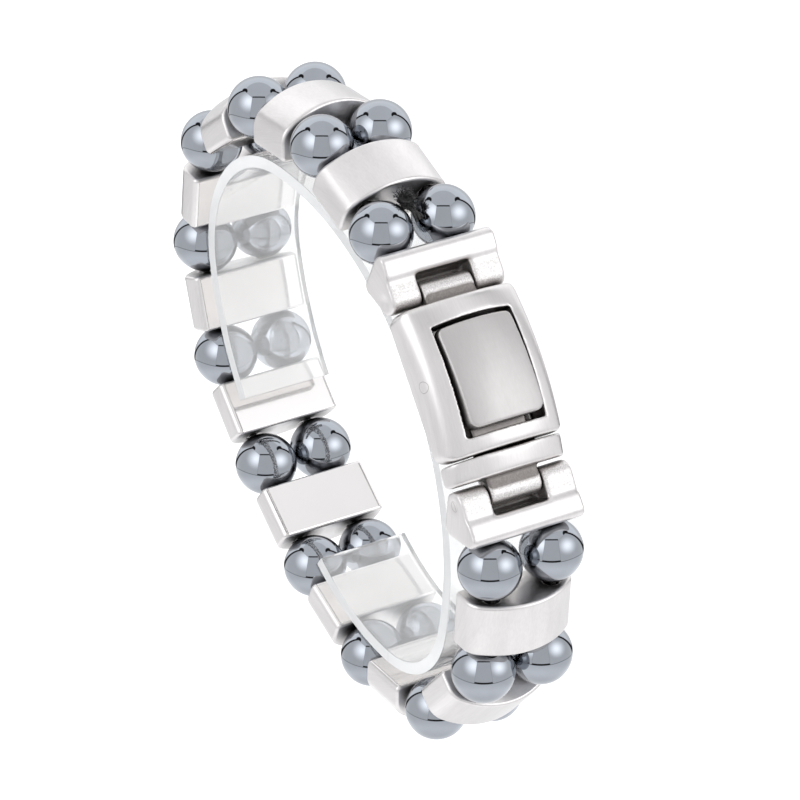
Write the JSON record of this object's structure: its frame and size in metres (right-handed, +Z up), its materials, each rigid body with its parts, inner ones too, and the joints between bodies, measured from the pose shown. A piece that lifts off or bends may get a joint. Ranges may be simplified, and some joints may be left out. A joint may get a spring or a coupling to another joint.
{
  "type": "beaded steel bracelet on a clear display clip",
  "caption": "Closed two-strand bracelet of domed satin steel links and round polished dark beads, with a hinged lever clasp, lying on its side round a clear C-shaped display clip.",
  "frame": {"origin": "centre of the bounding box on the ground the bracelet lies on", "axes": "+X along the longer way of the loop, +Y from the clasp at the front to the back of the loop, +Z up, across the width of the bracelet"},
  "size_m": [0.0864, 0.0648, 0.0172],
  "materials": {
    "steel": "satin, fine brushed",
    "stone": "mirror-polished dark stone, hematite look",
    "cord": "matt twisted cord",
    "clear": "clear acrylic"
  },
  "bodies": {
    "bracelet": {"clasp_box": "steel", "clasp_catch": "steel", "lever_pin": "steel", "end_block_1": "steel", "end_block_2": "steel", "hinge_pin_1": "steel", "hinge_pin_2": "steel", "link_01": "steel", "link_02": "steel", "link_03": "steel", "link_04": "steel", "link_05": "steel", "link_06": "steel", "link_07": "steel", "link_08": "steel", "link_09": "steel", "link_10": "steel", "link_11": "steel", "bead_01_top": "stone", "bead_02_top": "stone", "bead_03_top": "stone", "bead_04_top": "stone", "bead_05_top": "stone", "bead_06_top": "stone", "bead_07_top": "stone", "bead_08_top": "stone", "bead_09_top": "stone", "bead_10_top": "stone", "bead_11_top": "stone", "bead_12_top": "stone", "bead_01_low": "stone", "bead_02_low": "stone", "bead_03_low": "stone", "bead_04_low": "stone", "bead_05_low": "stone", "bead_06_low": "stone", "bead_07_low": "stone", "bead_08_low": "stone", "bead_09_low": "stone", "bead_10_low": "stone", "bead_11_low": "stone", "bead_12_low": "stone", "cord_top": "cord", "cord_low": "cord", "cord_knot": "cord", "display_clip": "clear"},
    "lever_swing": {"lever": "steel"}
  },
  "joints": [
    {"name": "lever_hinge", "type": "hinge", "parent": "bracelet", "child": "lever_swing", "pos_m": [-0.00291, -0.02872, 0.0086], "axis": [0, 0, 1], "range_deg": [0, 10]}
  ]
}
